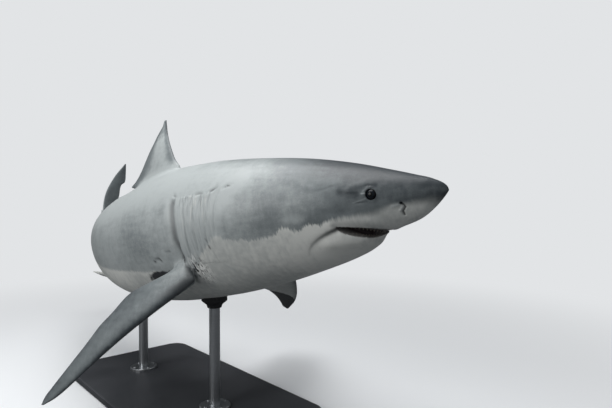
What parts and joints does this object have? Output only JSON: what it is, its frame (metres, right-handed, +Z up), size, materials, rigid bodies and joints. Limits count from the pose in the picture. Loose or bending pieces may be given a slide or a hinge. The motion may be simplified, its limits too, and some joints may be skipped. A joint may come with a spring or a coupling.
{
  "type": "great white shark model",
  "caption": "Life-size great white shark cruising with its body bent to one side, held over a flat display base by short rods.",
  "frame": {"origin": "centre of the underside of the stand's base, on the floor", "axes": "+Z up; the animal heads towards +X and -Y and its tail trails towards -X and +Y, so its right side is the side that faces -Y and -X"},
  "size_m": [2.1893, 2.808, 1.4955],
  "materials": {
    "skin": "satin, slate grey above and white below",
    "eye": "wet gloss, near black",
    "teeth": "ivory, semi-gloss",
    "stand_paint": "satin charcoal",
    "stand_steel": "brushed",
    "stand_cup": "matt"
  },
  "bodies": {
    "root": {"head": "skin", "lower_jaw": "skin", "gill_region": "skin", "trunk_front": "skin", "trunk_rear": "skin", "tail_stem": "skin", "dorsal_fin_first": "skin", "dorsal_fin_second": "skin", "anal_fin": "skin", "tail_fin_upper": "skin", "tail_fin_lower": "skin", "pectoral_fin_right": "skin", "pectoral_fin_left": "skin", "pelvic_fin_right": "skin", "pelvic_fin_left": "skin", "eye_right": "eye", "eye_left": "eye", "stand_base": "stand_paint", "stand_flange_front": "stand_steel", "stand_rod_front": "stand_steel", "stand_cup_front": "stand_cup", "stand_flange_rear": "stand_steel", "stand_rod_rear": "stand_steel", "stand_cup_rear": "stand_cup"}
  },
  "joints": []
}
